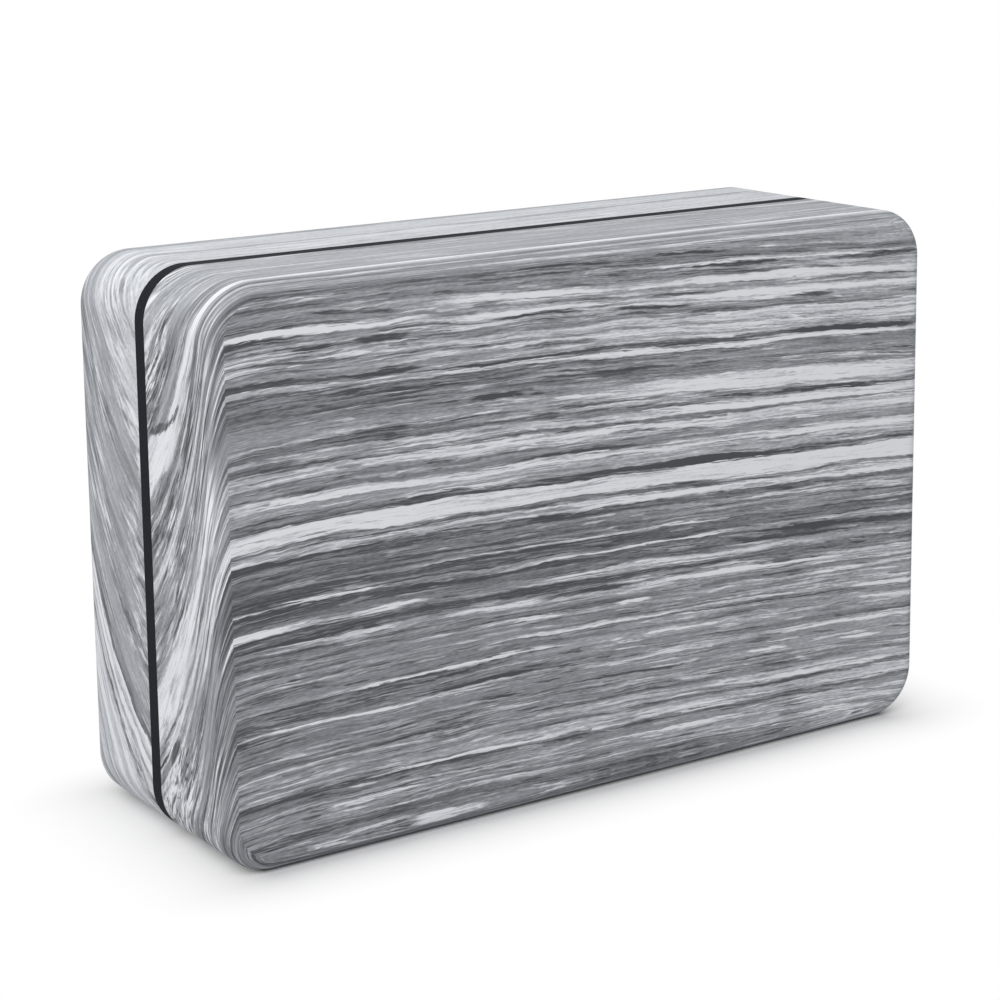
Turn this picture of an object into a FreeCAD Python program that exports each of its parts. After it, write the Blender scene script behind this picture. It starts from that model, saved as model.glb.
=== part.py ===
import FreeCAD, Part
import math
import os
import Sketcher

# Yoga block: two marbled foam slabs glued to the two faces of a thin dark core sheet.
# It stands on its long narrow side, +Z up. Its length runs along X and its layers are
# stacked along Y, with the front slab towards -Y. The origin is on the floor, under the
# middle of the core sheet.

# Driving dimensions in millimetres. The slabs and the core are cut to one outline after
# gluing, so the outline sizes are shared by every layer.
BLOCK_SIZES = {
    "block_length": 230.0,
    "block_height": 150.0,
    "slab_thickness": 35.0,
    "core_thickness": 4.8,
    "glue_thickness": 0.1,
    "corner_radius": 14.0,
    "edge_radius": 4.0,
}

# The two ways a layer can be built up from the plane it is seated on
TO_FRONT = -1
TO_REAR = 1

doc = FreeCAD.newDocument("yoga_block")
sizes = doc.addObject("Spreadsheet::Sheet", "sizes")
for row, (word, millimetres) in enumerate(BLOCK_SIZES.items(), start=1):
    sizes.set(f"A{row}", word)
    sizes.set(f"B{row}", str(millimetres))
    sizes.setAlias(f"B{row}", word)
doc.recompute()


def outline_edges():
    """The four sides and four corner arcs of the outline, in order, anticlockwise from the floor side."""
    half_length = sizes.block_length / 2
    height = sizes.block_height
    radius = sizes.corner_radius
    near = half_length - radius
    high = height - radius
    out_of_sketch = FreeCAD.Vector(0, 0, 1)
    quarter = math.radians(90)

    def side(start, end):
        return Part.LineSegment(FreeCAD.Vector(*start), FreeCAD.Vector(*end))

    def corner(centre, quarters):
        circle = Part.Circle(FreeCAD.Vector(*centre), out_of_sketch, radius)
        return Part.ArcOfCircle(circle, quarters * quarter, (quarters + 1) * quarter)

    return [
        side((-near, 0, 0), (near, 0, 0)),
        corner((near, radius, 0), -1),
        side((half_length, radius, 0), (half_length, high, 0)),
        corner((near, high, 0), 0),
        side((near, height, 0), (-near, height, 0)),
        corner((-near, high, 0), 1),
        side((-half_length, high, 0), (-half_length, radius, 0)),
        corner((-near, radius, 0), 2),
    ]


def outline_sketch(body):
    """The block's rounded rectangle on the body's upright plane, standing on the floor line."""
    upright = next(plane for plane in body.Origin.OriginFeatures if plane.Role == "XZ_Plane")
    sketch = body.newObject("Sketcher::SketchObject", body.Label + "_outline")
    sketch.AttachmentSupport = [(upright, "")]
    sketch.MapMode = "FlatFace"

    edges = outline_edges()
    sketch.addGeometry(edges, False)
    floor_side, first_corner, right_side, top_side, left_side = 0, 1, 2, 4, 6
    start, end, origin, centre = 1, 2, -1, 1
    for edge in range(len(edges)):
        following = (edge + 1) % len(edges)
        sketch.addConstraint(Sketcher.Constraint("Tangent", edge, end, following, start))
    for level in (floor_side, top_side):
        sketch.addConstraint(Sketcher.Constraint("Horizontal", level))
    for plumb in (right_side, left_side):
        sketch.addConstraint(Sketcher.Constraint("Vertical", plumb))
    for corner in range(first_corner + 2, len(edges), 2):
        sketch.addConstraint(Sketcher.Constraint("Equal", first_corner, corner))
    sketch.addConstraint(
        Sketcher.Constraint("Symmetric", floor_side, start, floor_side, end, origin, centre)
    )

    driven = {
        "block_length": ("DistanceX", left_side, start, right_side, start, sizes.block_length),
        "block_height": ("DistanceY", floor_side, start, top_side, start, sizes.block_height),
        "corner_radius": ("Radius", first_corner, sizes.corner_radius),
    }
    for word, measure in driven.items():
        index = sketch.addConstraint(Sketcher.Constraint(*measure))
        sketch.renameConstraint(index, word)
        sketch.setExpression("Constraints." + word, "sizes." + word)
    return sketch


def layer(name, thickness, seat, way):
    """One flat layer of the block: the outline given its thickness, away from the plane it is seated on."""
    body = doc.addObject("PartDesign::Body", name)
    body.Label = name
    pad = body.newObject("PartDesign::Pad", name + "_sheet")
    pad.Profile = outline_sketch(body)
    pad.setExpression("Length", "sizes." + thickness)
    pad.Reversed = way == TO_REAR
    body.Tip = pad
    body.setExpression("Placement.Base.y", seat)
    return body


def slab(name, seat, way):
    """A foam slab: a layer whose outer face is rounded over all the way round its rim."""
    body = layer(name, "slab_thickness", seat, way)
    sheet = body.Tip
    doc.recompute()
    faces = sheet.Shape.Faces
    outermost = max(range(len(faces)), key=lambda number: way * faces[number].CenterOfMass.y)
    round_over = body.newObject("PartDesign::Fillet", name + "_round_over")
    round_over.Base = (sheet, [f"Face{outermost + 1}"])
    round_over.setExpression("Radius", "sizes.edge_radius")
    body.Tip = round_over
    return body


# The core sheet is centred on the origin. Each glue film lies on one of its faces, and each
# slab on its glue film.
CORE_REAR = "sizes.core_thickness / 2"
CORE_FRONT = "-sizes.core_thickness / 2"
GLUE_REAR = "sizes.core_thickness / 2 + sizes.glue_thickness"
GLUE_FRONT = "-sizes.core_thickness / 2 - sizes.glue_thickness"

pieces = [
    slab("front_slab", GLUE_FRONT, TO_FRONT),
    layer("front_glue_film", "glue_thickness", CORE_FRONT, TO_FRONT),
    layer("core_sheet", "core_thickness", CORE_FRONT, TO_REAR),
    layer("rear_glue_film", "glue_thickness", CORE_REAR, TO_REAR),
    slab("rear_slab", GLUE_REAR, TO_REAR),
]
doc.recompute()

for item in doc.Objects:
    if "Invalid" in item.State or "Error" in item.State:
        raise RuntimeError(f"{item.Label} did not build: {item.State}")
for piece in pieces:
    if piece.Shape.isNull() or not piece.Shape.isValid():
        raise RuntimeError(f"{piece.Label} has no sound solid")

os.makedirs("parts", exist_ok=True)
for piece in pieces:
    piece.Shape.exportStep(f"parts/{piece.Label}.step")
    box = piece.Shape.optimalBoundingBox()
    print(
        f"{piece.Label}: x {box.XMin:.2f} to {box.XMax:.2f}, y {box.YMin:.2f} to {box.YMax:.2f}, "
        f"z {box.ZMin:.2f} to {box.ZMax:.2f}, volume {piece.Shape.Volume:.0f}"
    )
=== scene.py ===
# %% [markdown]
# # A marbled foam yoga block
#
# The block stands on its long narrow side. Two slabs of marbled grey foam are glued to the faces of
# a thin black foam sheet, cut to one outline and rounded over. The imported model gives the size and
# place of every layer. This lesson gives each layer a clean mesh and the finish of the real foam,
# and sets the block on a white studio floor.

import math
import random

import bpy
import numpy as np
from mathutils import Matrix, Vector


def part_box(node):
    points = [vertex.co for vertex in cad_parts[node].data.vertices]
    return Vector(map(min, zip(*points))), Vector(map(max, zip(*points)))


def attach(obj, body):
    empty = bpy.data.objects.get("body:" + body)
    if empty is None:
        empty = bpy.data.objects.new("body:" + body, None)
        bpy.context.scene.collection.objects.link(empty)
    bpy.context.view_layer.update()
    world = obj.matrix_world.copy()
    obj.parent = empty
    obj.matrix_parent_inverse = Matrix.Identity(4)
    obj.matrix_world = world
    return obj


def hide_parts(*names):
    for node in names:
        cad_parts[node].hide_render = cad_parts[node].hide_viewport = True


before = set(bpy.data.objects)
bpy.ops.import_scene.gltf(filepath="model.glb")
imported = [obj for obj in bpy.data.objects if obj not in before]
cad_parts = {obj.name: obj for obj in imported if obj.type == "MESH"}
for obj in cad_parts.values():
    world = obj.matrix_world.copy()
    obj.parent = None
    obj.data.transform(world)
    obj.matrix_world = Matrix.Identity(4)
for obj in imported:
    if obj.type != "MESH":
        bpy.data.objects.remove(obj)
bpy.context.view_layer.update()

# %% [markdown]
# ## Sizes
#
# Nothing is measured twice. The length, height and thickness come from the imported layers, and so do
# the two radii: the end of the outline is straight down to where the corner starts, and the rear
# face is flat out to where the round-over starts. Typing the sizes in again would be shorter, but
# then a change to the block would have to be made in two places.

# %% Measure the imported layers
MM = 0.001
TOUCHING = 0.01 * MM


def packed_points(node):
    """The corners of a packed layer's mesh, in metres."""
    return np.array([corner.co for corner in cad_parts[node].data.vertices])


half_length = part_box("core_sheet")[1].x
block_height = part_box("core_sheet")[1].z
half_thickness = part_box("rear_slab")[1].y
core_points = packed_points("core_sheet")
rear_points = packed_points("rear_slab")
on_right_end = core_points[:, 0] > half_length - TOUCHING
on_rear_face = rear_points[:, 1] > half_thickness - TOUCHING
corner_radius = core_points[on_right_end, 2].min()
edge_radius = half_length - rear_points[on_rear_face, 0].max()
print(f"Corner radius {corner_radius / MM:.2f} mm, edge radius {edge_radius / MM:.2f} mm")

# %% [markdown]
# ## The outline as a grid
#
# Every layer is the same rounded rectangle. A filled circle of points would crowd at its centre, so
# the outline is laid out as a plain grid of columns and rows instead. In the four corner blocks the
# square cells are pushed onto a quarter of a disc. All the edge points then lie on the outline, and
# a wider or narrower outline is the same grid with another reach beyond the corner centres.

# %% Lay out the grid
CORNER_STEPS = 9
SIDE_STEP = 4 * MM


def grid_lines(first_centre, last_centre):
    """Where the grid's lines cross one side: their anchors, and their share of the reach beyond them."""
    side_steps = round((last_centre - first_centre) / SIDE_STEP)
    shares = np.arange(1, CORNER_STEPS + 1) / CORNER_STEPS
    before = np.full(CORNER_STEPS, first_centre)
    after = np.full(CORNER_STEPS, last_centre)
    anchors = np.concatenate([before, np.linspace(first_centre, last_centre, side_steps + 1), after])
    return anchors, np.concatenate([-shares[::-1], np.zeros(side_steps + 1), shares])


column_anchors, column_shares = grid_lines(corner_radius - half_length, half_length - corner_radius)
row_anchors, row_shares = grid_lines(corner_radius, block_height - corner_radius)
columns = len(column_anchors)
rows = len(row_anchors)


def outline_sheet(reach):
    """The grid's points, x and z, when its corner circles have this radius."""
    out = column_shares[:, None]
    up = row_shares[None, :]
    x = column_anchors[:, None] + reach * out * np.sqrt(1 - up**2 / 2)
    z = row_anchors[None, :] + reach * up * np.sqrt(1 - out**2 / 2)
    return np.stack([x, z], axis=-1)


print("Grid of", columns, "columns and", rows, "rows")

# %% [markdown]
# ## Rims and quads
#
# Three small helpers turn grids into faces. They work on the numbers of the points, to make a mesh,
# and just as well on their places on a flat pattern, which comes further down.

# %% Read a grid's rim and faces


def rim(grid):
    """A grid's edge points, anticlockwise from the lower left corner as seen from the front."""
    return np.concatenate([grid[:-1, 0], grid[-1, :-1], grid[:0:-1, -1], grid[0, :0:-1]])


def sheet_quads(grid):
    """The four corners of each cell of a grid."""
    corners = [grid[:-1, :-1], grid[1:, :-1], grid[1:, 1:], grid[:-1, 1:]]
    return np.stack(corners, axis=2).reshape((-1, 4) + grid.shape[2:])


def strip_quads(near, far):
    """The four corners of each cell between two lines of points."""
    return np.stack([near[:-1], far[:-1], far[1:], near[1:]], axis=1)


def ring_quads(near, far):
    """The four corners of each cell between two closed rings of points."""
    return strip_quads(np.concatenate([near, near[:1]]), np.concatenate([far, far[:1]]))


print("A ring has", len(rim(outline_sheet(corner_radius))), "points")

# %% [markdown]
# ## One function for every layer
#
# A layer is a face, a few rings round its rim and a second face. The rings follow a profile: how far
# the outline reaches, and how deep the ring lies below the outer face of the block. A straight
# profile gives the core sheet, and a quarter circle before the straight wall gives a slab with its
# round-over. Extruding and bevelling would look alike, but here every face stays a clean quad.

# %% Build a layer from its profile
FRONT, REAR = -1, 1
SHARPEST_SMOOTH_EDGE = math.radians(40)


def layer_piece(name, profile, side):
    """A closed layer, built from its outer face inwards. profile lists its rings' (reach, depth)."""
    flats = [(outline_sheet(reach).reshape(-1, 2), depth) for reach, depth in (profile[0], profile[-1])]
    rings = [(rim(outline_sheet(reach)), depth) for reach, depth in profile[1:-1]]
    outlines = flats + rings
    places = [np.insert(spots, 1, side * (half_thickness - depth), axis=1) for spots, depth in outlines]

    cells = columns * rows
    outer = np.arange(cells).reshape(columns, rows)
    inner = outer + cells
    edge = len(rim(outer))
    loops = [np.arange(edge) + 2 * cells + ring * edge for ring in range(len(rings))]
    loops = [rim(outer)] + loops + [rim(inner)]
    walls = [ring_quads(near, far) for near, far in zip(loops, loops[1:])]
    faces = np.concatenate([sheet_quads(outer), sheet_quads(inner)[:, ::-1]] + walls)
    if side == REAR:
        faces = faces[:, ::-1]

    mesh = bpy.data.meshes.new(name)
    mesh.from_pydata(np.concatenate(places).tolist(), [], faces.tolist())
    mesh.polygons.foreach_set("use_smooth", np.ones(len(faces), bool))
    mesh.set_sharp_from_angle(angle=SHARPEST_SMOOTH_EDGE)
    mesh.validate()
    piece = bpy.data.objects.new(name, mesh)
    bpy.context.scene.collection.objects.link(piece)
    print(name, "has", len(mesh.polygons), "faces")
    return piece


# %% [markdown]
# ## The five layers
#
# The block is glued up from two thick slabs, a thin core sheet and the two coats of glue between
# them. Each layer's depth is read from its packed box, so the layers stay face to face. Only the
# slabs are rounded over, and only on the outside.

# %% Make the layers
ROUND_OVER_STEPS = 9
WALL_STEPS = 8


def layer_depths(node, side):
    """How deep a packed layer starts and ends below the block's outer face on that side."""
    low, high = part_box(node)
    return sorted(half_thickness - side * face for face in (low.y, high.y))


def slab_profile(start, end):
    """A quarter circle from the flat face, then the straight wall down to the glue."""
    turns = np.linspace(0, math.pi / 2, ROUND_OVER_STEPS + 1)
    flat_reach = corner_radius - edge_radius
    rounded = [
        (flat_reach + edge_radius * math.sin(turn), start + edge_radius * (1 - math.cos(turn)))
        for turn in turns
    ]
    wall = [(corner_radius, depth) for depth in np.linspace(start + edge_radius, end, WALL_STEPS + 1)[1:]]
    return rounded + wall


def sheet_profile(start, end):
    """A plain sheet's wall, with one ring half way."""
    return [(corner_radius, depth) for depth in np.linspace(start, end, 3)]


front_profile = slab_profile(*layer_depths("front_slab", FRONT))
rear_profile = slab_profile(*layer_depths("rear_slab", REAR))
front_slab = layer_piece("front_foam_slab", front_profile, FRONT)
rear_slab = layer_piece("rear_foam_slab", rear_profile, REAR)
core_sheet = layer_piece("black_core_sheet", sheet_profile(*layer_depths("core_sheet", FRONT)), FRONT)
front_glue = layer_piece("front_glue_coat", sheet_profile(*layer_depths("front_glue_film", FRONT)), FRONT)
rear_glue = layer_piece("rear_glue_coat", sheet_profile(*layer_depths("rear_glue_film", REAR)), REAR)

# %% [markdown]
# ## A cutting pattern for each slab
#
# Other programs can't run a material's nodes, so an exported slab carries its marbling as a picture.
# Blender can unfold a slab by itself, but it would spend as much of that picture on the glued face,
# which nobody sees, as on the front. So each slab is unfolded like a cutting pattern: the face with its
# round-over in one piece, three walls as strips above it, one wall upright beside it, and the glued
# face shrunk into a free corner.

# %% Unfold the slabs
PATTERN_NAME = "OFBake"
PATTERN_GAP = 3 * MM
GLUED_FACE_SCALE = 0.1


def wall_strips():
    """How far along its wall each rim point lies: for the floor side, right end, top and left end."""
    edge = rim(outline_sheet(corner_radius))
    steps = np.hypot(*(np.roll(edge, -1, axis=0) - edge).T)
    wall_ends = np.cumsum([columns - 1, rows - 1, columns - 1])
    return [np.insert(np.cumsum(wall), 0, 0.0) for wall in np.split(steps, wall_ends)]


def flat_pattern(profile):
    """A slab unfolded: the corners of each face, in the mesh's order, on a square with sides of 1."""
    reaches, depths = np.array(profile).T
    run = np.insert(np.cumsum(np.hypot(np.diff(reaches), np.diff(depths))), 0, 0.0)
    face_reaches = reaches[0] + run[: ROUND_OVER_STEPS + 1]
    downs = run[ROUND_OVER_STEPS:] - run[ROUND_OVER_STEPS]
    wide = 2 * (half_length - corner_radius + face_reaches[-1])
    high = block_height - 2 * corner_radius + 2 * face_reaches[-1]
    deep = downs[-1]
    beside = wide + PATTERN_GAP
    above = high + PATTERN_GAP
    strip_step = deep + PATTERN_GAP

    face = [outline_sheet(reach) + (wide / 2, face_reaches[-1] - corner_radius) for reach in face_reaches]
    glued_face = outline_sheet(corner_radius) * (-1, 1) + (half_length, 0)
    charts = [sheet_quads(face[0])]
    charts.append(sheet_quads(glued_face * GLUED_FACE_SCALE + (beside, above))[:, ::-1])
    charts += [ring_quads(rim(near), rim(far)) for near, far in zip(face, face[1:])]

    def laid(along, row, down):
        return np.stack([along, np.full_like(along, above + row * strip_step + deep - down)], axis=-1)

    def upright(along, down):
        return np.stack([np.full_like(along, beside + down), along], axis=-1)

    floor_side, right_end, top, left_end = wall_strips()
    for near, far in zip(downs, downs[1:]):
        charts.append(strip_quads(laid(floor_side, 0, near), laid(floor_side, 0, far)))
        charts.append(strip_quads(upright(right_end, near), upright(right_end, far)))
        charts.append(strip_quads(laid(top, 1, near), laid(top, 1, far)))
        charts.append(strip_quads(laid(left_end, 2, near), laid(left_end, 2, far)))
    return np.concatenate(charts) / max(beside + deep, high + 3 * strip_step)


def unfold(piece, profile, side):
    """Gives a slab its pattern. Seen from behind, left and right change places."""
    pattern = flat_pattern(profile)
    if side == REAR:
        pattern = pattern[:, ::-1] * (-1, 1) + (1, 0)
    layer = piece.data.uv_layers.new(name=PATTERN_NAME)
    layer.data.foreach_set("uv", pattern.ravel())
    print(piece.name, "pattern reaches", np.round(pattern.max(axis=(0, 1)), 3))


unfold(front_slab, front_profile, FRONT)
unfold(rear_slab, rear_profile, REAR)

# %% [markdown]
# ## Formulas in a material
#
# Marbled foam is coloured right through, so its pattern is worked out from the place of a point in
# the block, in millimetres, and not painted on. That takes many Math nodes. To keep the formulas
# readable, a Flow stands for a number on its way through the nodes: adding or multiplying two Flows
# adds the node that does it. The nodes' own clamps stay off, because Cycles works all clamps out after
# everything else, and with so many nodes it would run out of room for the values that wait.

# %% Numbers that flow through nodes


def feed(entry, value):
    """Sets a node's input to a plain value, or links it to a Flow."""
    if isinstance(value, Flow):
        entry.id_data.links.new(value.socket, entry)
    else:
        entry.default_value = value


class Flow:
    """A value running through a material's nodes."""

    def __init__(self, socket):
        self.socket = socket

    def node(self, kind, **settings):
        """A new node in the same material."""
        made = self.socket.id_data.nodes.new(kind)
        for setting, value in settings.items():
            setattr(made, setting, value)
        return made

    def maths(self, operation, *others):
        """This value put through a Math node, with the other values it needs."""
        made = self.node("ShaderNodeMath", operation=operation)
        for entry, value in zip(made.inputs, (self,) + others):
            feed(entry, value)
        return Flow(made.outputs["Value"])

    def __add__(self, other):
        return self.maths("ADD", other)

    def __sub__(self, other):
        return self.maths("SUBTRACT", other)

    def __mul__(self, other):
        return self.maths("MULTIPLY", other)

    __radd__ = __add__
    __rmul__ = __mul__

    def step(self, start, end, low=0.0, high=1.0):
        """A soft step from low to high as this value goes from start to end."""
        made = self.node("ShaderNodeMapRange", interpolation_type="SMOOTHSTEP", clamp=False)
        for entry, value in zip(made.inputs, (self, start, end, low, high)):
            feed(entry, value)
        return Flow(made.outputs["Result"])


print("Flows can be added, subtracted, multiplied and stepped")

# %% [markdown]
# ## The way the layers lie
#
# The marbling comes from a rolled and folded stack of foam. On the front the layers lie almost
# level, falling a little to the right. Inside the slab they dive: steeply just under the face, and
# more gently towards the core. At the right end they run straight over the rounded edge before they
# dive. So a point's layer is named by the level at which that layer reaches the outer face. Points
# with the same level have the same colour, on every side of the slab.

# %% Find a point's level in the layers
WAY_IN_STRETCH = 2.2
FALL = 0.03
FALL_BEND = 0.0002
LEFT_DIP = 0.6
LEFT_DIP_STARTS = 100.0
LEFT_DIP_FADE = 12.0
LATE_DIVE = 2.6
LATE_DIVE_ALONG = (102.0, 112.0)


def block_place(tree):
    """A point's place in the block, in millimetres."""
    coordinates = tree.nodes.new("ShaderNodeTexCoord")
    in_mm = tree.nodes.new("ShaderNodeVectorMath")
    in_mm.operation = "SCALE"
    in_mm.inputs["Scale"].default_value = 1 / MM
    tree.links.new(coordinates.outputs["Object"], in_mm.inputs[0])
    return Flow(in_mm.outputs[0])


def apart(place):
    """The three numbers of a place."""
    made = place.node("ShaderNodeSeparateXYZ")
    feed(made.inputs["Vector"], place)
    return [Flow(end) for end in made.outputs]


def joined(along, level, way_in):
    """Three numbers as one place."""
    made = along.node("ShaderNodeCombineXYZ")
    for entry, value in zip(made.inputs, (along, level, way_in)):
        feed(entry, value)
    return Flow(made.outputs["Vector"])


def layer_place(spot, dive):
    """A point's place in the slab's layers: along the block, its level, and the way in from the face."""
    gentle, plunge, plunge_depth, crease = dive
    along, through, height = apart(spot)
    depth = (through.maths("ABSOLUTE") * -1.0 + half_thickness / MM).maths("MAXIMUM", 0.0)
    diving = (depth - along.step(*LATE_DIVE_ALONG, 0.0, LATE_DIVE)).maths("MAXIMUM", 0.0)
    steep = (diving * (-1 / plunge_depth)).maths("EXPONENT") * -plunge + plunge
    fall = along * FALL + along.maths("MULTIPLY", along) * FALL_BEND
    left_dip = ((along + LEFT_DIP_STARTS) * (-1 / LEFT_DIP_FADE)).maths("EXPONENT") * LEFT_DIP
    down = diving * gentle + steep + diving.maths("SQRT") * crease
    return along, height + down + fall + left_dip, depth * WAY_IN_STRETCH


print("Layers are named by their level on the outer face, in millimetres")

# %% [markdown]
# ## Noise that follows the layers
#
# Noise gives the foam its life, but plain noise looks like clouds. Here it is measured in a point's
# place in the layers and drawn out along them. Soft noise makes wisps. Voronoi cells make flattened
# chips with crisp edges, each of one tone. The lines where soft noise crosses zero make hairlines.

# %% Wisps, chips and hairlines
SEED_STEP = (7.3, 3.1, 5.7)


def drawn_out(place, lengths, seed):
    """A place measured in streaks of these lengths: along, across and into the layers."""
    made = place.node("ShaderNodeMapping")
    feed(made.inputs["Vector"], place)
    made.inputs["Location"].default_value = [seed * step for step in SEED_STEP]
    made.inputs["Scale"].default_value = [1 / length for length in lengths]
    return Flow(made.outputs["Vector"])


def wisps(place, lengths, seed, detail=0.0, curl=0.0):
    """Soft noise drawn out along the layers, from -1 to 1."""
    streaks = drawn_out(place, lengths, seed)
    made = place.node("ShaderNodeTexNoise")
    feed(made.inputs["Vector"], streaks)
    made.inputs["Scale"].default_value = 1.0
    made.inputs["Detail"].default_value = detail
    made.inputs["Distortion"].default_value = curl
    return Flow(made.outputs["Fac"]) * 2.0 - 1.0


def chips(place, lengths, seed):
    """Flattened foam chips, each with a tone of its own from -1 to 1."""
    flakes = drawn_out(place, lengths, seed)
    made = place.node("ShaderNodeTexVoronoi")
    feed(made.inputs["Vector"], flakes)
    made.inputs["Scale"].default_value = 1.0
    channels = place.node("ShaderNodeSeparateColor")
    feed(channels.inputs["Color"], Flow(made.outputs["Color"]))
    return Flow(channels.outputs["Red"]) * 2.0 - 1.0


def hairlines(place, lengths, seed, width=0.07):
    """Thin lines along the layers: 1 on a line, and 0 between the lines."""
    return wisps(place, lengths, seed).maths("ABSOLUTE").step(width, 0.3 * width)


def stirred(value, place, noise, sizes, seed):
    """A value with noise of several sizes added to it."""
    for number, (lengths, strength) in enumerate(sizes):
        value = value + noise(place, lengths, seed + number) * strength
    return value


print("Wisps, chips and hairlines are measured in millimetres")

# %% [markdown]
# ## Tones and greys
#
# The foam is a mix of a few greys, from nearly black to nearly white. The pattern is composed in
# plain tones from 0 to 1, and a colour ramp turns the tones into greys at the very end. The darker
# greys are a little bluer. A band has a tone, and a vein shifts the tone of what it lies in.

# %% Name the tones
TONES = {"black": 0.02, "dark": 0.2, "dusk": 0.34, "mid": 0.47, "pale": 0.6, "light": 0.76, "white": 0.95}
SHIFTS = {"black": -0.6, "dark": -0.38, "dusk": -0.2, "pale": 0.18, "light": 0.32, "white": 0.5}
FOAM_GREYS = [
    (0.0, 0.085), (0.15, 0.12), (0.35, 0.24), (0.5, 0.33),
    (0.62, 0.43), (0.78, 0.64), (0.9, 0.78), (1.0, 0.85),
]
FOAM_COOLNESS = (-0.06, -0.008, 0.085)


def foam_colour(tone):
    """A tone turned into the greys of the foam."""
    ramp = tone.node("ShaderNodeValToRGB")
    stops = ramp.color_ramp.elements
    while len(stops) < len(FOAM_GREYS):
        stops.new(0.5)
    for stop, (position, grey) in zip(stops, FOAM_GREYS):
        stop.position = position
        stop.color = [grey * (1 + cool * (1 - 0.6 * position)) for cool in FOAM_COOLNESS] + [1.0]
    feed(ramp.inputs["Fac"], tone)
    return Flow(ramp.outputs["Color"])


print("Tones:", ", ".join(TONES))

# %% [markdown]
# ## The front slab's bands
#
# The broad composition is laid out from the bottom up, as a maker would describe it. Bands run the
# whole length of the block: each starts at a level and keeps its tone up to the next one.

# %% Lay out the front bands
FRONT_BANDS = [
    (-20, "mid"), (5.5, "dusk"), (8.5, "pale"), (9.3, "mid"), (12.2, "pale"), (13.8, "mid"), (16.2, "dark"),
    (17.4, "light"), (18.4, "pale"), (20.6, "dusk"), (21.7, "pale"), (24.5, "mid"), (25.2, "dusk"),
    (26.4, "mid"), (34.9, "pale"), (36.4, "dusk"), (38.2, "mid"), (41.0, "pale"), (42.8, "mid"),
    (45.6, "dusk"), (46.2, "pale"), (47.3, "mid"), (51.0, "pale"), (52.1, "dusk"), (53.5, "mid"),
    (55.2, "pale"), (57.2, "dusk"), (58.6, "dark"), (60.1, "mid"), (62.5, "dusk"), (64.3, "dark"),
    (66.3, "mid"), (67.5, "dark"), (70.6, "mid"), (71.5, "dusk"), (76.0, "mid"), (77.2, "dark"),
    (79.1, "light"), (81.4, "dusk"), (82.9, "white"), (87.4, "dusk"), (89.4, "pale"),
    (92.6, "light"), (94.6, "mid"), (97.8, "light"), (101.1, "dusk"), (102.4, "light"), (104.9, "dusk"),
    (106.4, "pale"), (111.6, "mid"), (114.2, "dusk"), (116.2, "mid"), (117.0, "dusk"),
    (119.5, "light"), (120.9, "dark"), (122.3, "pale"), (124.6, "light"), (126.3, "mid"), (126.9, "light"),
    (129.1, "mid"), (131.8, "pale"), (133.0, "light"), (134.7, "mid"), (137.1, "pale"), (139.6, "mid"),
    (141.7, "pale"), (143.2, "dusk"), (145.9, "mid"), (150.0, "pale"), (153.5, "mid"), (158.0, "pale"),
    (161.0, "mid"),
]
print(len(FRONT_BANDS), "bands on the front slab")

# %% [markdown]
# ## The front slab's veins
#
# Veins are single chips of foam, flattened to long thin lenses. Each has a tone, the place along the
# block and the level of its two ends, and a thickness, all in millimetres. They carry what the eye
# picks out first: the black streaks and the white flashes.

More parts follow.
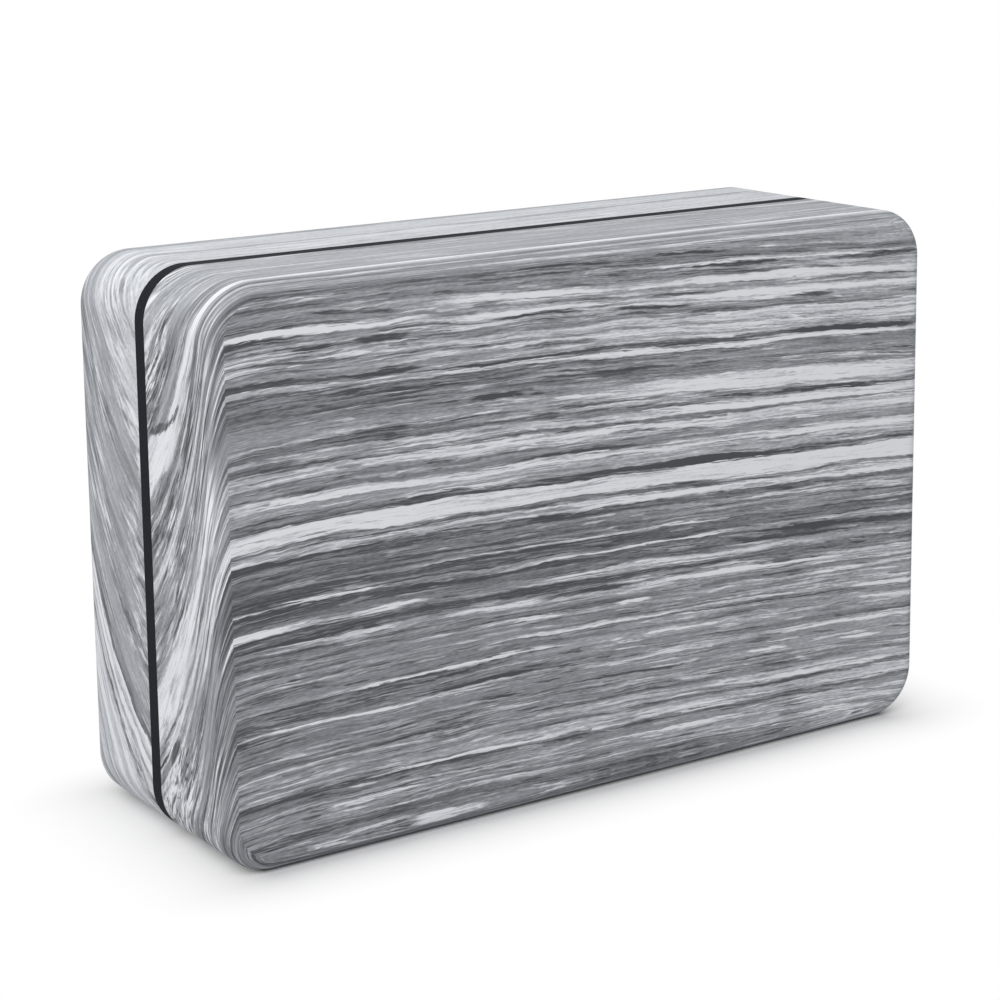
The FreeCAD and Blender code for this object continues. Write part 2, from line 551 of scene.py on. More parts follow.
# %% Lay out the front veins
FRONT_VEINS = [
    ("dark", -32, 145.3, 8, 145.3, 0.9), ("dark", 16, 145.6, 46, 146.3, 1.0),
    ("light", 20, 142.9, 118, 144.7, 0.8), ("black", 26, 142.0, 64, 142.7, 0.8),
    ("black", 78, 142.9, 118, 143.6, 1.1), ("light", 6, 138.0, 118, 139.2, 2.4),
    ("light", -50, 138.8, 8, 138.0, 1.4), ("white", -118, 136.8, -48, 135.6, 1.5),
    ("dark", -90, 140.6, -60, 138.0, 1.0), ("black", -118, 135.4, -83, 135.4, 1.0),
    ("dusk", -83, 135.2, -35, 132.6, 0.8), ("light", -50, 134.9, 10, 134.6, 1.8),
    ("light", 10, 134.0, 118, 135.3, 1.8), ("black", -36, 133.5, -4, 132.8, 0.9),
    ("black", 4, 132.7, 32, 132.0, 1.1), ("black", 64, 132.8, 82, 132.9, 1.0),
    ("black", -93, 131.8, -80, 131.6, 0.8), ("dark", -76, 132.0, -58, 131.4, 1.5),
    ("dusk", 0, 130.5, 118, 130.6, 2.0), ("light", -118, 133.3, -20, 132.2, 1.0),
    ("dark", -28, 124.6, 2, 124.6, 0.9), ("black", -80, 123.4, -54, 123.3, 1.3),
    ("light", -95, 122.8, -18, 122.0, 1.2), ("dark", 62, 122.3, 118, 122.8, 1.6),
    ("black", -50, 121.3, -24, 121.0, 0.8), ("black", 16, 120.6, 42, 120.5, 1.0),
    ("light", -28, 119.9, 118, 120.7, 1.1), ("dark", -76, 118.0, -44, 117.6, 0.9),
    ("dark", -6, 116.0, 19, 115.6, 0.8), ("black", -42, 112.3, -24, 112.1, 1.0),
    ("light", -20, 109.8, 118, 110.2, 3.6), ("dark", -77, 108.7, -58, 108.2, 0.9),
    ("dusk", -118, 108.2, -20, 107.0, 1.6), ("dark", -20, 107.3, 16, 107.2, 0.6),
    ("dark", 30, 105.8, 118, 106.6, 1.0), ("dark", -118, 104.2, -88, 103.8, 1.0),
    ("white", 15, 103.2, 118, 103.6, 1.6), ("dark", 2, 99.0, 20, 99.1, 0.6),
    ("dark", 18, 98.2, 41, 98.3, 0.6), ("dark", -82, 100.2, -72, 99.7, 0.8),
    ("pale", -118, 100.6, 20, 99.5, 2.0), ("dark", -30, 95.3, 22, 95.2, 1.0),
    ("light", -118, 94.0, 50, 93.3, 1.2), ("light", 50, 93.3, 118, 94.3, 1.0),
    ("light", -66, 90.3, -18, 90.0, 0.9), ("black", -62, 89.7, -40, 89.8, 0.8),
    ("dark", -22, 88.8, 85, 88.9, 1.3), ("black", 16, 88.6, 62, 88.3, 1.6),
    ("dusk", -76, 88.6, 2, 87.6, 0.8), ("pale", -120, 85.5, -40, 85.1, 4.6),
    ("dark", -81, 85.7, -66, 84.2, 0.6), ("dusk", 60, 85.6, 112, 85.2, 0.8),
    ("black", -25, 79.1, -4, 78.9, 0.8), ("light", -8, 79.6, 45, 80.6, 1.0),
    ("light", 60, 80.3, 118, 80.3, 1.1), ("light", 38, 76.2, 118, 76.6, 1.0),
    ("light", -102, 72.4, -84, 72.3, 0.7), ("white", 18, 71.1, 36, 71.2, 0.7),
    ("light", -62, 71.2, 48, 71.2, 0.6), ("white", -118, 68.0, -62, 67.4, 0.7),
    ("dark", -118, 67.0, -82, 66.8, 1.3), ("white", -48, 65.8, 55, 67.4, 0.7),
    ("light", 2, 64.6, 48, 65.3, 0.5), ("dark", -62, 65.7, -46, 65.6, 0.9),
    ("dark", 55, 66.3, 120, 65.2, 2.0), ("black", 62, 66.2, 84, 66.3, 1.2),
    ("white", 77, 66.4, 120, 66.9, 0.9), ("dark", 40, 64.0, 96, 63.4, 0.9),
    ("white", -118, 62.4, -93, 62.2, 1.4), ("light", -80, 61.8, -52, 61.6, 0.8),
    ("light", -35, 61.2, 85, 61.6, 1.5), ("light", -118, 62.0, -50, 61.6, 1.2),
    ("dark", -118, 58.3, -72, 58.4, 0.9), ("light", -96, 57.3, -60, 57.0, 1.0),
    ("light", -52, 56.6, -18, 56.5, 1.0), ("black", -22, 56.8, 12, 56.6, 1.1),
    ("dark", 50, 57.3, 85, 57.2, 0.9), ("white", 8, 56.0, 86, 56.2, 0.9),
    ("white", -32, 51.7, -8, 51.5, 0.7), ("white", 4, 51.6, 18, 51.5, 0.8),
    ("light", 72, 52.0, 96, 52.2, 0.7), ("white", 88, 46.3, 120, 46.4, 1.4),
    ("light", -36, 46.5, 32, 46.6, 0.8), ("dark", 18, 46.0, 95, 45.4, 0.6),
    ("white", -82, 42.4, -8, 42.7, 0.7), ("dark", -118, 42.3, -18, 41.4, 0.7),
    ("white", 14, 41.7, 34, 41.8, 0.6), ("light", 92, 42.0, 120, 42.0, 0.9),
    ("light", -4, 40.1, 16, 40.3, 0.6), ("white", -118, 36.8, -30, 35.3, 0.6),
    ("pale", -16, 35.6, 55, 35.6, 1.4), ("light", 60, 35.8, 118, 36.4, 0.9),
    ("dark", -50, 37.3, -18, 37.2, 1.0), ("light", -84, 31.5, -52, 31.2, 0.6),
    ("white", 50, 31.2, 66, 31.1, 0.7), ("white", 84, 31.4, 102, 31.4, 0.7),
    ("dark", -47, 32.0, -24, 31.8, 0.8), ("dark", -17, 31.3, 40, 31.0, 0.8),
    ("light", -118, 29.2, -84, 28.7, 0.6), ("light", 22, 26.8, 44, 26.7, 0.8),
    ("dark", -72, 26.4, -36, 26.0, 0.7), ("light", -118, 22.2, -74, 21.7, 1.2),
    ("light", 40, 22.6, 118, 23.4, 0.9), ("dusk", 30, 21.3, 118, 21.7, 0.8),
    ("light", -70, 18.0, -22, 17.8, 0.8), ("white", -4, 13.5, 52, 13.5, 0.7),
    ("light", -88, 12.6, -60, 12.5, 0.7), ("pale", -62, 9.1, 32, 9.1, 0.5),
    ("light", 68, 10.2, 92, 10.7, 0.6), ("light", -118, 8.4, -84, 8.6, 0.7),
    ("white", -62, 4.0, -36, 3.6, 1.8), ("light", -86, 4.9, -58, 5.0, 0.5),
    ("light", -30, 4.8, 0, 4.5, 0.5),
]
print(len(FRONT_VEINS), "veins on the front slab")

# %% [markdown]
# ## The front slab's cut sides
#
# On the ends and the top the layers are sliced steeply, so the thin bands of the face run together
# into broader ones. Levels above the block's height belong to deeper layers, which only come out
# here. The ends also show pockets of one tone, where a lump was pressed into the stack, and near the
# floor a crumbled spot where small bits were mixed in. A swell pushes the layers down or up. Each of
# these is a lens with a middle and a reach, measured along the block, in level, and in the way in.
# A pocket also has a lean: the level it gains for each step on the way in.

# %% Lay out the front slab's cut sides
FRONT_CUT_BANDS = [
    (-20, "mid"), (20, "dusk"), (28, "mid"), (38, "pale"), (41, "mid"), (52, "dusk"), (58, "mid"),
    (62, "pale"), (64.5, "mid"), (71, "pale"), (73.5, "dusk"), (79, "mid"), (83, "light"), (87, "mid"),
    (89, "light"), (92.5, "mid"), (95, "light"), (99.5, "mid"), (101.5, "light"), (105.5, "pale"),
    (109, "white"), (112.5, "pale"), (115, "light"), (118.5, "mid"), (123, "pale"), (126, "mid"),
    (134, "pale"), (137, "mid"), (141, "dusk"), (143, "light"), (146.5, "mid"), (152, "dusk"),
    (158, "light"), (160, "dusk"), (163.5, "mid"), (166, "pale"), (168, "light"), (172, "white"),
    (176.5, "pale"), (178, "mid"), (180.5, "pale"), (186, "mid"), (188, "pale"), (204, "light"),
    (205.5, "pale"),
]
FRONT_POCKETS = [
    ("dusk", (-115, 190, 70), (26, 8, 42), 0), ("white", (-115, 174.3, 64), (20, 6.5, 30), 0.34),
    ("black", (-115, 179.6, 62), (12, 1.3, 15), 0.4), ("black", (-115, 172.4, 44), (12, 0.9, 8), 0.3),
    ("dusk", (-115, 127, 73), (20, 5.5, 18), 0), ("white", (-115, 111, 60), (22, 10, 34), 0),
    ("dusk", (-115, 81, 36), (30, 7, 24), 0), ("light", (-115, 80, 66), (26, 13, 26), 0),
    ("black", (-115, 96.8, 71), (10, 0.9, 9), 0), ("black", (-115, 93.6, 57), (9, 2.6, 7), 0),
    ("dusk", (115, 58, 60), (24, 6, 40), 0.1), ("white", (115, 92, 50), (20, 5, 30), -0.1),
    ("light", (115, 126, 64), (22, 5, 34), 0.1),
]
FRONT_CRUMBS = [((-115, 78, 62), (34, 17, 34))]
FRONT_SWELLS = [(2.8, (-125, 132, 0), (85, 22, 120)), (-1.2, (15, 110, 0), (50, 14, 90))]
print(len(FRONT_CUT_BANDS), "bands and", len(FRONT_POCKETS), "pockets on the front slab's cut sides")

# %% [markdown]
# ## The rear slab
#
# Of the rear slab only the left end and a strip of the top are known: light below a dark arc, plain
# grey above it, and light again by the core. Its cut bands follow that. The back of the block isn't
# known, so its bands and veins are dealt out by a seeded draw, in the proportions of the front.

# %% Lay out the rear slab
REAR_CUT_BANDS = [
    (-20, "light"), (30, "pale"), (36, "light"), (44, "pale"), (47, "light"), (55, "white"), (58, "light"),
    (64, "white"), (66.5, "light"), (70.2, "dark"), (72.3, "light"), (76.5, "pale"), (78, "white"),
    (81.5, "pale"), (82.6, "light"), (84.2, "white"), (86.6, "dark"), (87.8, "dusk"), (90, "mid"),
    (94, "pale"), (108, "mid"), (111, "pale"), (125, "mid"), (129, "pale"), (150, "mid"), (156, "pale"),
    (173.8, "light"), (194.0, "pale"), (196.2, "light"),
]
REAR_POCKETS = [
    ("light", (-115, 167, 74), (20, 9, 13), 0), ("dusk", (115, 104, 60), (24, 6, 36), 0.1),
    ("white", (115, 40, 60), (22, 5, 30), -0.1),
]
REAR_SWELLS = [(3.0, (60, 60, 0), (90, 40, 120)), (-2.5, (-50, 110, 0), (80, 30, 90))]
BAND_SHADES = ["mid", "pale", "dusk", "mid", "pale", "light", "mid", "dusk", "dark", "light", "white"]
VEIN_SHADES = ["black", "dark", "light", "dark", "white", "light"]


def dealt_bands(seed):
    """Bands from the floor side to the top, with tones drawn by chance."""
    chance = random.Random(seed)
    bands = [(-20, "mid")]
    level = -4.0
    while level < block_height / MM + 4:
        others = [shade for shade in BAND_SHADES if shade != bands[-1][1]]
        bands.append((level, chance.choice(others)))
        level += chance.uniform(0.8, 3.8)
    return bands


def dealt_veins(count, seed):
    """Veins laid anywhere on a slab's face, from the floor side to the top."""
    chance = random.Random(seed)
    veins = []
    for number in range(count):
        shade = VEIN_SHADES[number % len(VEIN_SHADES)]
        start = chance.uniform(-118, 70)
        end = start + chance.uniform(18, 95)
        level = (number + chance.random()) * block_height / MM / count
        end_level = level + chance.uniform(-0.8, 0.8)
        veins.append((shade, start, level, end, end_level, chance.uniform(0.6, 1.8)))
    return veins


REAR_BANDS = dealt_bands(seed=6)
REAR_VEINS = dealt_veins(90, seed=4)
print(len(REAR_BANDS), "bands and", len(REAR_VEINS), "veins on the back")

# %% [markdown]
# ## Laying them into the foam
#
# A band is a soft step from one tone to the next. A lens is a ball-shaped gradient, stretched by a
# Mapping node: it is full in the middle and fades at its edge. A vein adds its shift to the tone, so
# the bands still show through it. A pocket takes the tone most of the way to its own.

# %% Bands, lenses, veins and pockets
FACE_EDGE = 0.22
CUT_EDGE = 0.7
LENS_EDGE = 3.2
VEIN_FULLNESS = 0.65
VEIN_LEAST_WAY_IN = 12
POCKET_COVER = 0.8


def band_tone(level, bands, edge):
    """The tone of the band that a level falls in. Neighbours blend over twice the edge."""
    tone = level * 0.0 + TONES[bands[0][1]]
    for (_, below), (start, above) in zip(bands, bands[1:]):
        change = TONES[above] - TONES[below]
        tone = tone + level.step(start - edge, start + edge, 0.0, change)
    return tone


def lens(place, middle, reach, lean=(0, 0, 0)):
    """1 in the middle of a lens of foam, falling to 0 at its edge."""
    stretched = place.node("ShaderNodeMapping", vector_type="TEXTURE")
    feed(stretched.inputs["Vector"], place)
    stretched.inputs["Location"].default_value = middle
    stretched.inputs["Rotation"].default_value = lean
    stretched.inputs["Scale"].default_value = reach
    ball = place.node("ShaderNodeTexGradient", gradient_type="SPHERICAL")
    feed(ball.inputs["Vector"], Flow(stretched.outputs["Vector"]))
    return Flow(ball.outputs["Fac"])


def lens_body(place, middle, reach, lean=(0, 0, 0)):
    """1 in most of a lens of foam, falling to 0 only near its edge."""
    return (lens(place, middle, reach, lean) * LENS_EDGE).maths("MINIMUM", 1.0)


def with_vein(tone, place, vein):
    """The tone with one vein laid into it."""
    shade, start, start_level, end, end_level, thickness = vein
    half_run = (end - start) / 2
    middle = ((start + end) / 2, (start_level + end_level) / 2, 0)
    reach = (half_run, thickness * VEIN_FULLNESS, max(VEIN_LEAST_WAY_IN, 0.6 * half_run))
    lean = math.atan2(end_level - start_level, end - start)
    body = lens_body(place, middle, reach, (0, 0, lean))
    return body.maths("MULTIPLY_ADD", SHIFTS[shade], tone)


def with_pocket(tone, place, pocket):
    """The tone with one pocket laid into it."""
    shade, middle, reach, lean = pocket
    cover = lens_body(place, middle, reach, (-math.atan(lean), 0, 0)) * POCKET_COVER
    return cover.maths("MULTIPLY_ADD", tone * -1.0 + TONES[shade], tone)


def swell_push(place, swells):
    """How far the layers are pushed, in millimetres, where the pressed stack bulges."""
    push = 0.0
    for rise, middle, reach in swells:
        push = lens(place, middle, reach).maths("MULTIPLY_ADD", -rise, push)
    return push


print("A vein fades over the outer", round(1 / LENS_EDGE, 2), "of its lens")

# %% [markdown]
# ## Pores
#
# Cut closed-cell foam is matt, and close up it has fine pores: shallow dents, a little rougher than
# the skin between them. They could be modelled, but at a third of a millimetre a bump is enough. The
# bump reads only this one noise and not the marbling, because Blender works a bump's height out three
# times for each sample.

# %% Give a foam surface its pores
PORE_DEPTH = 0.02 * MM
PORE_STRENGTH = 0.5


def give_pores(shader, spot, pore_size, roughness):
    """Dents a foam surface with pores of this size, in millimetres, and varies its roughness with them."""
    pores = wisps(spot, (pore_size, pore_size, pore_size), 5, detail=1.0)
    dents = spot.node("ShaderNodeBump")
    dents.inputs["Strength"].default_value = PORE_STRENGTH
    dents.inputs["Distance"].default_value = PORE_DEPTH
    feed(dents.inputs["Height"], pores)
    feed(shader.inputs["Normal"], Flow(dents.outputs["Normal"]))
    feed(shader.inputs["Roughness"], pores * -0.08 + roughness)


print(f"Pores are {PORE_DEPTH / MM:.2f} mm deep")

# %% [markdown]
# ## The faces of the slabs
#
# The slabs are pressed from chips and sheets of several greys, so no edge in them is ruled straight.
# Painting that by hand on a picture would need a new picture for every side. Here the level of a
# point is stirred by slow wisps, which makes the layers wander, and then frayed by small chips, which
# breaks their edges up. The bands and veins are read at the frayed level, and streaks, dashes and
# hairlines are laid over them.

# %% Compose the face of a slab
WANDERS = [((90, 18, 50), 0.8), ((20, 4, 9), 0.65), ((3.2, 0.8, 1.6), 0.22)]
FRAYS = [((18, 0.45, 5), 0.3), ((5, 0.3, 2), 0.18)]
STREAKS = [((90, 1.1, 16), 0.08), ((26, 0.6, 7), 0.12), ((8, 0.32, 3), 0.1)]
GRAIN = [((1.6, 0.35, 0.9), 0.12)]
FACE_BUSY = ((70, 4, 24), (-0.45, 0.45, 0.45, 1.5))
DASH = (13, 0.75, 6)
PALE_DASH = 0.26
DARK_DASH = -0.24
PALE_HAIR = ((90, 1.1, 22), 0.12)
DARK_HAIR = ((80, 1.3, 22), -0.11)


def face_bands(along, level, way_in, recipe):
    """The tone of the bands and veins, with frayed edges."""
    seed = recipe["seed"]
    frayed = stirred(level, joined(along, level, way_in), chips, FRAYS, seed + 8)
    place = joined(along, frayed, way_in)
    sag = along.maths("MULTIPLY", along) * -0.0001
    tone = band_tone(frayed + sag + swell_push(place, recipe["swells"]), recipe["bands"], FACE_EDGE)
    for vein in recipe["veins"]:
        tone = with_vein(tone, place, vein)
    return tone + along * recipe["paler_right"]


def face_streaks(tone, place, seed):
    """The tone with streaks, grain, dashes and hairlines."""
    patch, calm_to_busy = FACE_BUSY
    busy = wisps(place, patch, seed + 3).step(*calm_to_busy)
    streaks = stirred(0.0, place, chips, STREAKS, seed + 4)
    dashes = wisps(place, DASH, seed + 10)
    tone = stirred(tone + streaks * busy, place, wisps, GRAIN, seed + 7)
    tone = tone + dashes.step(0.4, 0.5) * PALE_DASH + dashes.step(-0.42, -0.5) * DARK_DASH
    for number, (lengths, strength) in enumerate((PALE_HAIR, DARK_HAIR)):
        tone = tone + hairlines(place, lengths, seed + 11 + number) * strength
    return tone


print("Layers wander by up to", sum(strength for _, strength in WANDERS), "mm")

# %% [markdown]
# ## The cut sides of the slabs
#
# Where the saw went across the layers, the streaks become feathers: fine slanting strokes, with pale
# and dark hairs between them. They are broad in level, because the steep slice makes everything look
# thinner. Light foam stays plainer than dark foam, and the top is plainer than the ends.

# %% Compose the cut sides of a slab
CUT_FRAYS = [((24, 1.6, 12), 0.8), ((10, 0.9, 6), 0.5)]
FEATHERS = [((26, 1.5, 12), 0.5), ((12, 0.9, 7), 0.5), ((7, 0.55, 4), 0.6)]
CUT_GRAIN = [((1.8, 0.8, 1.2), 0.1)]
CUT_BUSY = ((60, 14, 30), (-0.35, 0.35, 0.35, 1.3))
CRUMB = (5.0, 3.2, 6.0)
CRUMB_CURL = 1.6
FLECK = (30, 2.0, 14)
POCKET_RAGGEDNESS = 0.5
ENDS_START = (90.0, 112.0)
TOP_FEATHERS = 0.4
PALE_CUT_HAIR = (60, 4.5, 34)
DARK_CUT_HAIR = (50, 5, 30)
CUT_HAIR_WIDTH = 0.2


def crumbled(tone, place, crumbs, seed):
    """The tone with spots of small dark and light crumbs."""
    for middle, reach in crumbs:
        spot = lens_body(place, middle, reach)
        bits = wisps(place, CRUMB, seed + 16, curl=CRUMB_CURL)
        tone = tone + (bits.step(0.1, 0.35) * 0.2 + bits.step(-0.12, -0.35) * -0.4) * spot
    return tone


def cut_tone(along, level, way_in, recipe):
    """The tone of the cut sides: broad bands, pockets, crumbs, feathers and hairs."""
    seed = recipe["seed"]
    place = joined(along, level, way_in)
    frayed = stirred(level, place, chips, CUT_FRAYS, seed + 17)
    tone = band_tone(frayed, recipe["cut_bands"], CUT_EDGE)
    ragged = joined(along, level + (frayed - level) * POCKET_RAGGEDNESS, way_in)
    for pocket in recipe["pockets"]:
        tone = with_pocket(tone, ragged, pocket)
    tone = crumbled(tone, place, recipe["crumbs"], seed)

    patch, calm_to_busy = CUT_BUSY
    busy = wisps(place, patch, seed + 13).step(*calm_to_busy)
    at_ends = recipe["feather"]
    by_the_ends = along.maths("ABSOLUTE").step(*ENDS_START, TOP_FEATHERS * at_ends, at_ends)
    flecks = wisps(place, FLECK, seed + 14)
    flecks = flecks.step(0.2, 0.42) * 1.2 - flecks.step(-0.26, -0.46)
    feathers = stirred(flecks, place, chips, FEATHERS, seed + 15)
    tone = tone + feathers * busy * by_the_ends * (tone * -1.0 + 1.2)
    pale_hairs = hairlines(place, PALE_CUT_HAIR, seed + 22, CUT_HAIR_WIDTH)
    dark_hairs = hairlines(place, DARK_CUT_HAIR, seed + 23, CUT_HAIR_WIDTH)
    tone = tone + (pale_hairs - dark_hairs) * busy * (by_the_ends * 0.3 + 0.04)
    return stirred(tone, place, wisps, CUT_GRAIN, seed + 19)


print(len(FEATHERS), "sizes of feathers on the cut sides")

# %% [markdown]
# ## Dressing the slabs
#
# Each slab has a recipe: how its layers dive under the face, what is laid into them, how strongly they
# are feathered on the cut sides, and how much paler the face gets to the right. One function cooks
# either recipe into a material. It fades from the face to the cut sides over the round-over, up to the
# way in that the recipe calls cut_from. The shader itself is plain: foam is rough and hardly shines.

# %% Make the two marbled foams
FRONT_FOAM = {
    "dive": (0.42, 40.0, 17.0, 4.4),
    "bands": FRONT_BANDS,
    "veins": FRONT_VEINS,
    "cut_bands": FRONT_CUT_BANDS,
    "pockets": FRONT_POCKETS,
    "crumbs": FRONT_CRUMBS,
    "swells": FRONT_SWELLS,
    "feather": 0.34,
    "paler_right": 0.001,
    "cut_from": 6.0,
    "seed": 1,
}
REAR_FOAM = {
    "dive": (0.4, 30.0, 12.0, 3.2),
    "bands": REAR_BANDS,
    "veins": REAR_VEINS,
    "cut_bands": REAR_CUT_BANDS,
    "pockets": REAR_POCKETS,
    "crumbs": [],
    "swells": REAR_SWELLS,
    "feather": 0.2,
    "paler_right": 0.0,
    "cut_from": 3.0,
    "seed": 21,
}
CUT_FADE_START = 0.3
FOAM_ROUGHNESS = 0.8
FOAM_SHINE = 0.2
FOAM_PORE = 0.6


def marbled_foam(name, recipe):
    """Closed-cell foam, marbled right through by its recipe."""
    foam = bpy.data.materials.new(name)
    foam.use_nodes = True
    shader = foam.node_tree.nodes["Principled BSDF"]
    spot = block_place(foam.node_tree)
    along, level, way_in = layer_place(spot, recipe["dive"])
    level = stirred(level, joined(along, level, way_in), wisps, WANDERS, recipe["seed"])
    place = joined(along, level, way_in)
    face = face_streaks(face_bands(along, level, way_in, recipe), place, recipe["seed"])
    cut = cut_tone(along, level, way_in, recipe)
    tone = face + (cut - face) * way_in.step(CUT_FADE_START, recipe["cut_from"])
    feed(shader.inputs["Base Color"], foam_colour(tone))
    shader.inputs["Specular IOR Level"].default_value = FOAM_SHINE
    give_pores(shader, spot, FOAM_PORE, FOAM_ROUGHNESS)
    print(name, "has", len(foam.node_tree.nodes), "nodes")
    return foam


front_slab.data.materials.append(marbled_foam("front_marbling", FRONT_FOAM))
rear_slab.data.materials.append(marbled_foam("rear_marbling", REAR_FOAM))

# %% [markdown]
# ## The black core and the glue
#
# The core is a denser black foam, bought in thin sheets, and the glue is a brushed-on coat that dries
# dark. On the block they show only as a line between the slabs, but seen close the core still has a
# fine grain. A single colour would look like a printed line, so both get a speckle between two close
# tones, and pores finer than those of the slabs.

# %% Make the core foam and the glue
CORE_TINT = (0.85, 1.0, 1.3)
GLUE_TINT = (0.95, 1.0, 1.07)
DARK_SHINE = 0.1
DARK_ROUGHNESS = 0.82


def dark_foam(name, dark, light, tint, grain):
    """Plain dark foam, speckled between two tones, with a grain of this size in millimetres."""
    foam = bpy.data.materials.new(name)
    foam.use_nodes = True
    shader = foam.node_tree.nodes["Principled BSDF"]
    spot = block_place(foam.node_tree)
    speckle = wisps(spot, (grain, grain, grain), 3, detail=2.0)
    ramp = spot.node("ShaderNodeValToRGB")
    for stop, tone in zip(ramp.color_ramp.elements, (dark, light)):
        stop.color = [tone * share for share in tint] + [1.0]
    feed(ramp.inputs["Fac"], speckle * 0.5 + 0.5)
    feed(shader.inputs["Base Color"], Flow(ramp.outputs["Color"]))
    shader.inputs["Specular IOR Level"].default_value = DARK_SHINE
    give_pores(shader, spot, grain / 2, DARK_ROUGHNESS)
    print(name, "has", len(foam.node_tree.nodes), "nodes")
    return foam


core_sheet.data.materials.append(dark_foam("black_core_foam", 0.007, 0.021, CORE_TINT, 0.7))
glue = dark_foam("dark_glue", 0.03, 0.06, GLUE_TINT, 0.5)
for coat in (front_glue, rear_glue):
    coat.data.materials.append(glue)

# %% [markdown]
# ## Hand the pieces to the frame
#
# Each dressed piece takes the place of one packed layer. Nothing on the block moves, so all five ride
# on its one body, which is called root.

# %% Seat the pieces on the block
SEATING = [
    (front_slab, "front_slab", "front_marbled_foam"),
    (rear_slab, "rear_slab", "rear_marbled_foam"),
    (core_sheet, "core_sheet", "core_foam"),
    (front_glue, "front_glue_film", "glue"),
    (rear_glue, "rear_glue_film", "glue"),
]
for piece, node, finish in SEATING:
    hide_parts(node)
    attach(piece, "root")
    print(piece.name, "replaces", node)

# %% [markdown]
# ## The camera
#
# The block is seen from its left front corner and a little from above, through a long lens. Its upright
# edges look nearly parallel, as with a lens that is shifted down instead of a camera that is tipped
# down. A small shift takes out part of the tipping. A larger one would take out more, but it would push
# the block out of the picture when the camera goes round to the other sides.

# %% Place the camera
CAMERA_PLACE = Vector((-0.39002, -0.57360, 0.24840))
LOOKS_FROM = math.radians(-33.766)
LOOKS_DOWN = math.radians(11.013)
CAMERA_ROLL = math.radians(-0.699)
LENS_MM = 92.07
SENSOR_MM = 36.0
LENS_SHIFT = -0.14

camera_data = bpy.data.cameras.new("camera")
camera_data.sensor_width = SENSOR_MM
camera_data.lens = LENS_MM
camera_data.shift_y = LENS_SHIFT
camera = bpy.data.objects.new("camera", camera_data)
bpy.context.scene.collection.objects.link(camera)
aim = Matrix.Rotation(LOOKS_FROM, 4, "Z") @ Matrix.Rotation(math.radians(90) - LOOKS_DOWN, 4, "X")
camera.matrix_world = Matrix.Translation(CAMERA_PLACE) @ aim @ Matrix.Rotation(CAMERA_ROLL, 4, "Z")
bpy.context.scene.camera = camera
print("Camera", round((CAMERA_PLACE - Vector((0, 0, block_height / 2))).length, 3), "m from the block")

# %% [markdown]
# ## The floor
#
# The block stands on white paper that runs on into a white background. Only the soft shadow round its
# foot shows that there is a floor at all. Lighting the paper until it is white would also bleach the
# block. So the floor is a plain matt grey close to the block, where it takes the rendered shadow, and a
# short way off it blends into a white glow that only the camera and reflections see. The blend goes by
# the distance from the block's foot, so the shadow the camera sees is partly painted: a grey ring that
# is darkest at the foot and fades to white.

# %% Lay the floor
FLOOR_HALF = 2.0
# Near the foot the camera sees this grey, fading to white with distance: a painted shadow. The numbers
# below set where that painted shadow starts, how fast it fades, where it turns fully white, and how it
# fades past the ends.
FLOOR_GREY = (0.6, 0.6, 0.61, 1)
SHADOW_STARTS = 1.2 * MM
SHADOW_FADE = 9.0 * MM
SHADOW_CUT_OFF = 1.08
SHADOW_AT_ENDS = 0.62

floor_mesh = bpy.data.meshes.new("studio_floor")
floor_corners = [(-FLOOR_HALF, -FLOOR_HALF, 0), (FLOOR_HALF, -FLOOR_HALF, 0)]
floor_corners += [(FLOOR_HALF, FLOOR_HALF, 0), (-FLOOR_HALF, FLOOR_HALF, 0)]
floor_mesh.from_pydata(floor_corners, [], [(0, 1, 2, 3)])
floor = bpy.data.objects.new("studio_floor", floor_mesh)
bpy.context.scene.collection.objects.link(floor)


def seen_directly(tree):
    """1 for rays that show the background, and 0 for light that falls on the block."""
    rays = tree.nodes.new("ShaderNodeLightPath")
    kinds = [Flow(rays.outputs[kind]) for kind in ("Is Camera Ray", "Is Glossy Ray", "Is Transmission Ray")]
    return kinds[0].maths("MAXIMUM", kinds[1]).maths("MAXIMUM", kinds[2])


def mix_shaders(tree, share, first, second, output):
    """Shows the second shader by this share, and the first one by the rest."""
    blend = tree.nodes.new("ShaderNodeMixShader")
    feed(blend.inputs[0], share)
    tree.links.new(first.outputs[0], blend.inputs[1])
    tree.links.new(second.outputs[0], blend.inputs[2])
    tree.links.new(blend.outputs[0], tree.nodes[output].inputs["Surface"])


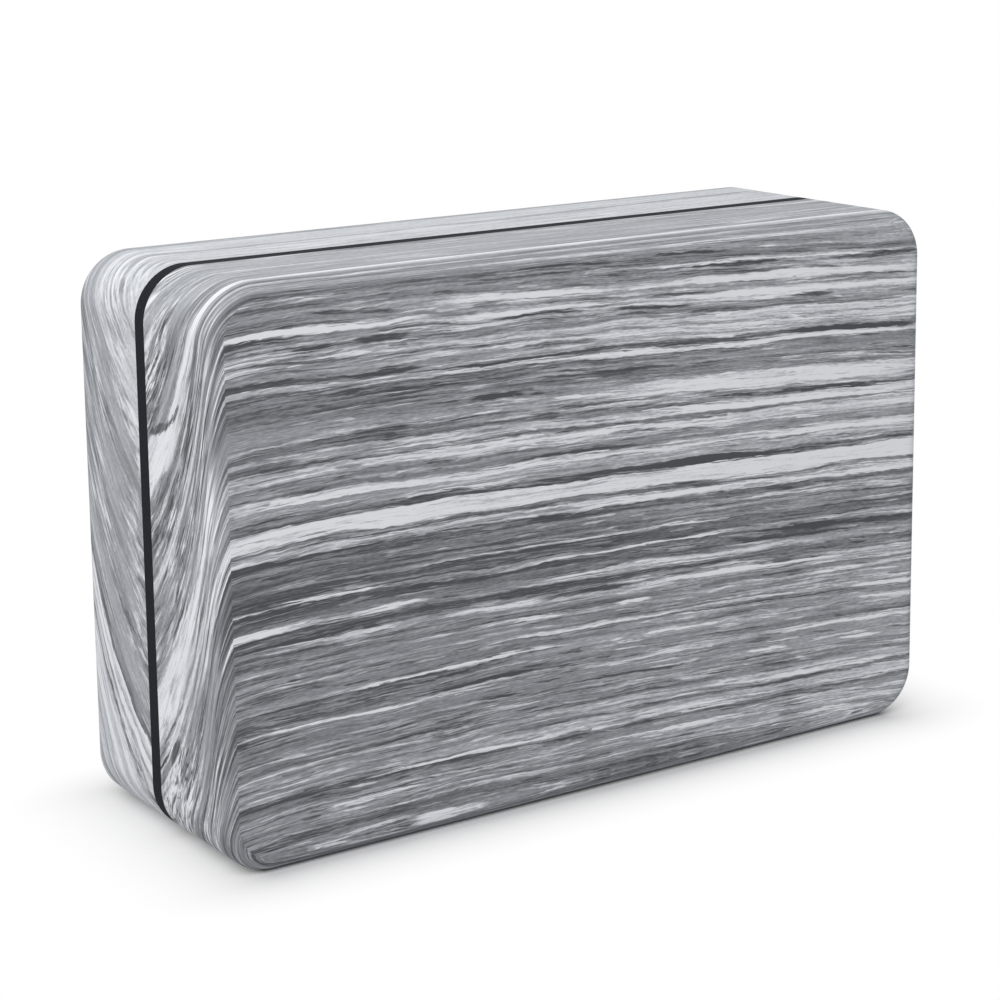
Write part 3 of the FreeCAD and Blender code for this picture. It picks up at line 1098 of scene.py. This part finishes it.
paper = bpy.data.materials.new("white_paper")
paper.use_nodes = True
tree = paper.node_tree
tree.nodes.remove(tree.nodes["Principled BSDF"])
matt = tree.nodes.new("ShaderNodeBsdfDiffuse")
matt.inputs["Color"].default_value = FLOOR_GREY
glow = tree.nodes.new("ShaderNodeEmission")
# The share of white grows with the distance from the block's foot, so the grey left near the foot is a
# painted shadow on top of the rendered one.
floor_spot = tree.nodes.new("ShaderNodeTexCoord")
along, through, _ = apart(Flow(floor_spot.outputs["Object"]))
beside = (along.maths("ABSOLUTE") - (half_length - corner_radius)).maths("MAXIMUM", 0.0) * SHADOW_AT_ENDS
before = (through.maths("ABSOLUTE") - half_thickness).maths("MAXIMUM", 0.0)
away = (beside.maths("MULTIPLY", beside) + before.maths("MULTIPLY", before)).maths("SQRT")
past = (away - SHADOW_STARTS).maths("MAXIMUM", 0.0)
painted_shade_left = (past * (-1 / SHADOW_FADE)).maths("EXPONENT")
white_share = (painted_shade_left * -SHADOW_CUT_OFF + SHADOW_CUT_OFF).maths("MINIMUM", 1.0)
mix_shaders(tree, white_share * seen_directly(tree), matt, glow, "Material Output")
floor_mesh.materials.append(paper)
print(f"Every {SHADOW_FADE / MM:.1f} mm away from the block the shadow falls to about a third")

# %% [markdown]
# ## The light
#
# The light is soft and comes mostly from everywhere, as in a white tent, with one large softbox high on
# the left that makes the top brightest and the front darkest. The camera sees the world as pure white,
# and the block is lit by a dimmer one, so that its pale bands stay short of white.

# %% Light the block
TENT_STRENGTH = 0.5
SOFTBOX_PLACE = (-0.76, -0.51, 1.14)
SOFTBOX_SIZE = 0.9
SOFTBOX_WATTS = 14.0

world = bpy.data.worlds.new("white_tent")
world.use_nodes = True
bpy.context.scene.world = world
tree = world.node_tree
tent = tree.nodes["Background"]
tent.inputs["Color"].default_value = (1, 1, 1, 1)
tent.inputs["Strength"].default_value = TENT_STRENGTH
backdrop = tree.nodes.new("ShaderNodeBackground")
backdrop.inputs["Color"].default_value = (1, 1, 1, 1)
mix_shaders(tree, seen_directly(tree), tent, backdrop, "World Output")

softbox_data = bpy.data.lights.new("high_left_softbox", "AREA")
softbox_data.size = SOFTBOX_SIZE
softbox_data.energy = SOFTBOX_WATTS
softbox = bpy.data.objects.new("high_left_softbox", softbox_data)
softbox.location = SOFTBOX_PLACE
facing = Vector((0, 0, block_height / 2)) - softbox.location
softbox.rotation_euler = facing.to_track_quat("-Z", "Y").to_euler()
bpy.context.scene.collection.objects.link(softbox)

bpy.context.scene.view_settings.view_transform = "Standard"
print("One softbox of", SOFTBOX_WATTS, "W in a tent of strength", TENT_STRENGTH)

# %% [markdown]
# ## A last update
#
# Once every piece is seated, the view layer is brought up to date.

# %% Bring the view layer up to date
bpy.context.view_layer.update()
